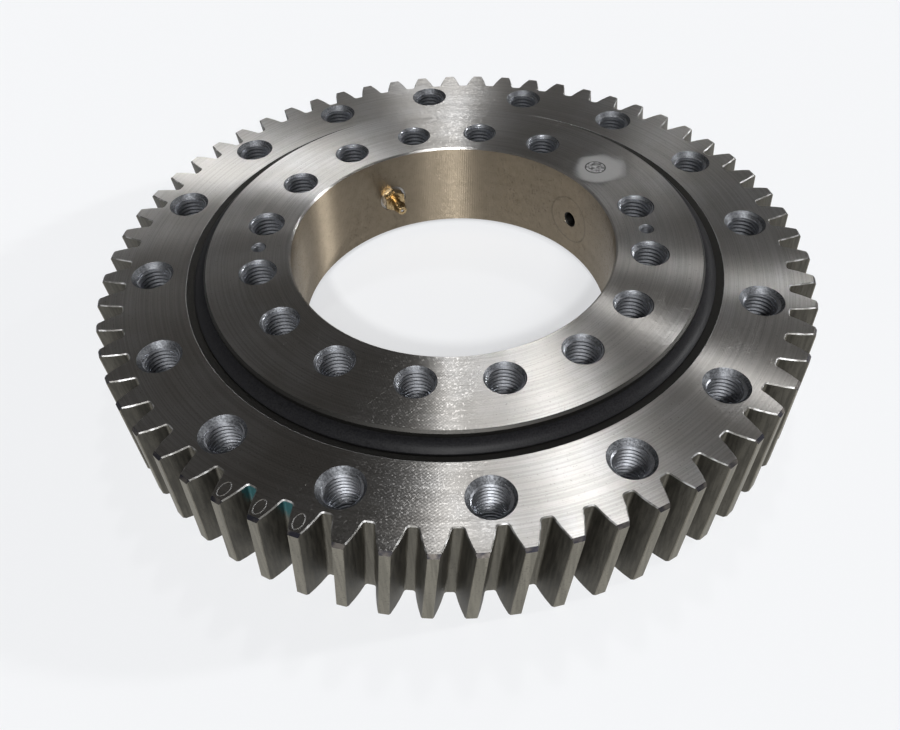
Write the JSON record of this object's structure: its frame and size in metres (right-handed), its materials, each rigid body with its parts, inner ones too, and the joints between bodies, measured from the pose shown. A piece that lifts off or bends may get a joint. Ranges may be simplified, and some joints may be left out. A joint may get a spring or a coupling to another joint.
{
  "type": "slewing ring",
  "caption": "Slewing ring: a toothed outer ring turning on balls round an inner ring, both drilled and threaded for bolts, with rubber seals and a grease nipple in the bore.",
  "frame": {"origin": "on the ring's axis, in the gear ring's bottom face", "axes": "+Z along the axis, towards the side where the inner ring stands proud; +X and +Y in the ring's plane, with the two M6 holes on the X axis and the loading plug at 35 degrees from +X"},
  "size_m": [0.315, 0.315, 0.051],
  "materials": {
    "ring_steel": "turned and drilled, satin",
    "plug_steel": "turned with the bore, satin",
    "pin_steel": "ground flush",
    "seal_rubber": "satin",
    "spacer_nylon": "matte",
    "ball_steel": "polished",
    "nipple_brass": "zinc and yellow passivated",
    "spring_steel": "drawn wire"
  },
  "bodies": {
    "gear_ring_body": {"gear_ring": "ring_steel", "lower_seal": "seal_rubber"},
    "inner_ring_body": {"inner_ring": "ring_steel", "upper_seal": "seal_rubber", "loading_plug": "plug_steel", "plug_pin": "pin_steel", "grease_nipple": "nipple_brass", "nipple_spring": "spring_steel"},
    "ball_train": {"ball_spacers": "spacer_nylon"},
    "check_ball_body": {"nipple_check_ball": "ball_steel"},
    "ball_01_body": {"ball_01": "ball_steel"},
    "ball_02_body": {"ball_02": "ball_steel"},
    "ball_03_body": {"ball_03": "ball_steel"},
    "ball_04_body": {"ball_04": "ball_steel"},
    "ball_05_body": {"ball_05": "ball_steel"},
    "ball_06_body": {"ball_06": "ball_steel"},
    "ball_07_body": {"ball_07": "ball_steel"},
    "ball_08_body": {"ball_08": "ball_steel"},
    "ball_09_body": {"ball_09": "ball_steel"},
    "ball_10_body": {"ball_10": "ball_steel"},
    "ball_11_body": {"ball_11": "ball_steel"},
    "ball_12_body": {"ball_12": "ball_steel"},
    "ball_13_body": {"ball_13": "ball_steel"},
    "ball_14_body": {"ball_14": "ball_steel"},
    "ball_15_body": {"ball_15": "ball_steel"},
    "ball_16_body": {"ball_16": "ball_steel"},
    "ball_17_body": {"ball_17": "ball_steel"},
    "ball_18_body": {"ball_18": "ball_steel"},
    "ball_19_body": {"ball_19": "ball_steel"},
    "ball_20_body": {"ball_20": "ball_steel"},
    "ball_21_body": {"ball_21": "ball_steel"},
    "ball_22_body": {"ball_22": "ball_steel"},
    "ball_23_body": {"ball_23": "ball_steel"},
    "ball_24_body": {"ball_24": "ball_steel"},
    "ball_25_body": {"ball_25": "ball_steel"},
    "ball_26_body": {"ball_26": "ball_steel"},
    "ball_27_body": {"ball_27": "ball_steel"},
    "ball_28_body": {"ball_28": "ball_steel"},
    "ball_29_body": {"ball_29": "ball_steel"},
    "ball_30_body": {"ball_30": "ball_steel"}
  },
  "joints": [
    {"name": "slewing", "type": "hinge", "parent": "gear_ring_body", "child": "inner_ring_body", "pos_m": [0, 0, 0.0265], "axis": [0, 0, 1], "continuous": true},
    {"name": "ball_train_orbit", "type": "hinge", "parent": "gear_ring_body", "child": "ball_train", "pos_m": [0, 0, 0.0265], "axis": [0, 0, 1], "continuous": true},
    {"name": "ball_01_roll", "type": "hinge", "parent": "ball_train", "child": "ball_01_body", "pos_m": [0.09292, 0.0643, 0.0265], "axis": [0, 0, 1], "continuous": true},
    {"name": "ball_02_roll", "type": "hinge", "parent": "ball_train", "child": "ball_02_body", "pos_m": [0.07753, 0.08221, 0.0265], "axis": [0, 0, 1], "continuous": true},
    {"name": "ball_03_roll", "type": "hinge", "parent": "ball_train", "child": "ball_03_body", "pos_m": [0.05874, 0.09653, 0.0265], "axis": [0, 0, 1], "continuous": true},
    {"name": "ball_04_roll", "type": "hinge", "parent": "ball_train", "child": "ball_04_body", "pos_m": [0.03739, 0.10664, 0.0265], "axis": [0, 0, 1], "continuous": true},
    {"name": "ball_05_roll", "type": "hinge", "parent": "ball_train", "child": "ball_05_body", "pos_m": [0.0144, 0.11208, 0.0265], "axis": [0, 0, 1], "continuous": true},
    {"name": "ball_06_roll", "type": "hinge", "parent": "ball_train", "child": "ball_06_body", "pos_m": [-0.00922, 0.11262, 0.0265], "axis": [0, 0, 1], "continuous": true},
    {"name": "ball_07_roll", "type": "hinge", "parent": "ball_train", "child": "ball_07_body", "pos_m": [-0.03243, 0.10825, 0.0265], "axis": [0, 0, 1], "continuous": true},
    {"name": "ball_08_roll", "type": "hinge", "parent": "ball_train", "child": "ball_08_body", "pos_m": [-0.05423, 0.09914, 0.0265], "axis": [0, 0, 1], "continuous": true},
    {"name": "ball_09_roll", "type": "hinge", "parent": "ball_train", "child": "ball_09_body", "pos_m": [-0.07366, 0.08569, 0.0265], "axis": [0, 0, 1], "continuous": true},
    {"name": "ball_10_roll", "type": "hinge", "parent": "ball_train", "child": "ball_10_body", "pos_m": [-0.08986, 0.06851, 0.0265], "axis": [0, 0, 1], "continuous": true},
    {"name": "ball_11_roll", "type": "hinge", "parent": "ball_train", "child": "ball_11_body", "pos_m": [-0.10214, 0.04833, 0.0265], "axis": [0, 0, 1], "continuous": true},
    {"name": "ball_12_roll", "type": "hinge", "parent": "ball_train", "child": "ball_12_body", "pos_m": [-0.10996, 0.02603, 0.0265], "axis": [0, 0, 1], "continuous": true},
    {"name": "ball_13_roll", "type": "hinge", "parent": "ball_train", "child": "ball_13_body", "pos_m": [-0.11297, 0.0026, 0.0265], "axis": [0, 0, 1], "continuous": true},
    {"name": "ball_14_roll", "type": "hinge", "parent": "ball_train", "child": "ball_14_body", "pos_m": [-0.11104, -0.02094, 0.0265], "axis": [0, 0, 1], "continuous": true},
    {"name": "ball_15_roll", "type": "hinge", "parent": "ball_train", "child": "ball_15_body", "pos_m": [-0.10426, -0.04357, 0.0265], "axis": [0, 0, 1], "continuous": true},
    {"name": "ball_16_roll", "type": "hinge", "parent": "ball_train", "child": "ball_16_body", "pos_m": [-0.09292, -0.0643, 0.0265], "axis": [0, 0, 1], "continuous": true},
    {"name": "ball_17_roll", "type": "hinge", "parent": "ball_train", "child": "ball_17_body", "pos_m": [-0.07753, -0.08221, 0.0265], "axis": [0, 0, 1], "continuous": true},
    {"name": "ball_18_roll", "type": "hinge", "parent": "ball_train", "child": "ball_18_body", "pos_m": [-0.05874, -0.09653, 0.0265], "axis": [0, 0, 1], "continuous": true},
    {"name": "ball_19_roll", "type": "hinge", "parent": "ball_train", "child": "ball_19_body", "pos_m": [-0.03739, -0.10664, 0.0265], "axis": [0, 0, 1], "continuous": true},
    {"name": "ball_20_roll", "type": "hinge", "parent": "ball_train", "child": "ball_20_body", "pos_m": [-0.0144, -0.11208, 0.0265], "axis": [0, 0, 1], "continuous": true},
    {"name": "ball_21_roll", "type": "hinge", "parent": "ball_train", "child": "ball_21_body", "pos_m": [0.00922, -0.11262, 0.0265], "axis": [0, 0, 1], "continuous": true},
    {"name": "ball_22_roll", "type": "hinge", "parent": "ball_train", "child": "ball_22_body", "pos_m": [0.03243, -0.10825, 0.0265], "axis": [0, 0, 1], "continuous": true},
    {"name": "ball_23_roll", "type": "hinge", "parent": "ball_train", "child": "ball_23_body", "pos_m": [0.05423, -0.09914, 0.0265], "axis": [0, 0, 1], "continuous": true},
    {"name": "ball_24_roll", "type": "hinge", "parent": "ball_train", "child": "ball_24_body", "pos_m": [0.07366, -0.08569, 0.0265], "axis": [0, 0, 1], "continuous": true},
    {"name": "ball_25_roll", "type": "hinge", "parent": "ball_train", "child": "ball_25_body", "pos_m": [0.08986, -0.06851, 0.0265], "axis": [0, 0, 1], "continuous": true},
    {"name": "ball_26_roll", "type": "hinge", "parent": "ball_train", "child": "ball_26_body", "pos_m": [0.10214, -0.04833, 0.0265], "axis": [0, 0, 1], "continuous": true},
    {"name": "ball_27_roll", "type": "hinge", "parent": "ball_train", "child": "ball_27_body", "pos_m": [0.10996, -0.02603, 0.0265], "axis": [0, 0, 1], "continuous": true},
    {"name": "ball_28_roll", "type": "hinge", "parent": "ball_train", "child": "ball_28_body", "pos_m": [0.11297, -0.0026, 0.0265], "axis": [0, 0, 1], "continuous": true},
    {"name": "ball_29_roll", "type": "hinge", "parent": "ball_train", "child": "ball_29_body", "pos_m": [0.11104, 0.02094, 0.0265], "axis": [0, 0, 1], "continuous": true},
    {"name": "ball_30_roll", "type": "hinge", "parent": "ball_train", "child": "ball_30_body", "pos_m": [0.10426, 0.04357, 0.0265], "axis": [0, 0, 1], "continuous": true},
    {"name": "check_ball_slide", "type": "slide", "parent": "inner_ring_body", "child": "check_ball_body", "axis": [-0.4075, 0.9132, 0], "range_m": [0, 0.001], "stiffness_N_per_m": 50, "springref_m": -0.001, "deforming": ["nipple_spring"]}
  ],
  "couplings": [
    {"joint": "ball_train_orbit", "follows": "slewing", "ratio": 0.46871},
    {"joint": "ball_01_roll", "follows": "slewing", "ratio": -7.959},
    {"joint": "ball_02_roll", "follows": "slewing", "ratio": -7.959},
    {"joint": "ball_03_roll", "follows": "slewing", "ratio": -7.959},
    {"joint": "ball_04_roll", "follows": "slewing", "ratio": -7.959},
    {"joint": "ball_05_roll", "follows": "slewing", "ratio": -7.959},
    {"joint": "ball_06_roll", "follows": "slewing", "ratio": -7.959},
    {"joint": "ball_07_roll", "follows": "slewing", "ratio": -7.959},
    {"joint": "ball_08_roll", "follows": "slewing", "ratio": -7.959},
    {"joint": "ball_09_roll", "follows": "slewing", "ratio": -7.959},
    {"joint": "ball_10_roll", "follows": "slewing", "ratio": -7.959},
    {"joint": "ball_11_roll", "follows": "slewing", "ratio": -7.959},
    {"joint": "ball_12_roll", "follows": "slewing", "ratio": -7.959},
    {"joint": "ball_13_roll", "follows": "slewing", "ratio": -7.959},
    {"joint": "ball_14_roll", "follows": "slewing", "ratio": -7.959},
    {"joint": "ball_15_roll", "follows": "slewing", "ratio": -7.959},
    {"joint": "ball_16_roll", "follows": "slewing", "ratio": -7.959},
    {"joint": "ball_17_roll", "follows": "slewing", "ratio": -7.959},
    {"joint": "ball_18_roll", "follows": "slewing", "ratio": -7.959},
    {"joint": "ball_19_roll", "follows": "slewing", "ratio": -7.959},
    {"joint": "ball_20_roll", "follows": "slewing", "ratio": -7.959},
    {"joint": "ball_21_roll", "follows": "slewing", "ratio": -7.959},
    {"joint": "ball_22_roll", "follows": "slewing", "ratio": -7.959},
    {"joint": "ball_23_roll", "follows": "slewing", "ratio": -7.959},
    {"joint": "ball_24_roll", "follows": "slewing", "ratio": -7.959},
    {"joint": "ball_25_roll", "follows": "slewing", "ratio": -7.959},
    {"joint": "ball_26_roll", "follows": "slewing", "ratio": -7.959},
    {"joint": "ball_27_roll", "follows": "slewing", "ratio": -7.959},
    {"joint": "ball_28_roll", "follows": "slewing", "ratio": -7.959},
    {"joint": "ball_29_roll", "follows": "slewing", "ratio": -7.959},
    {"joint": "ball_30_roll", "follows": "slewing", "ratio": -7.959}
  ]
}
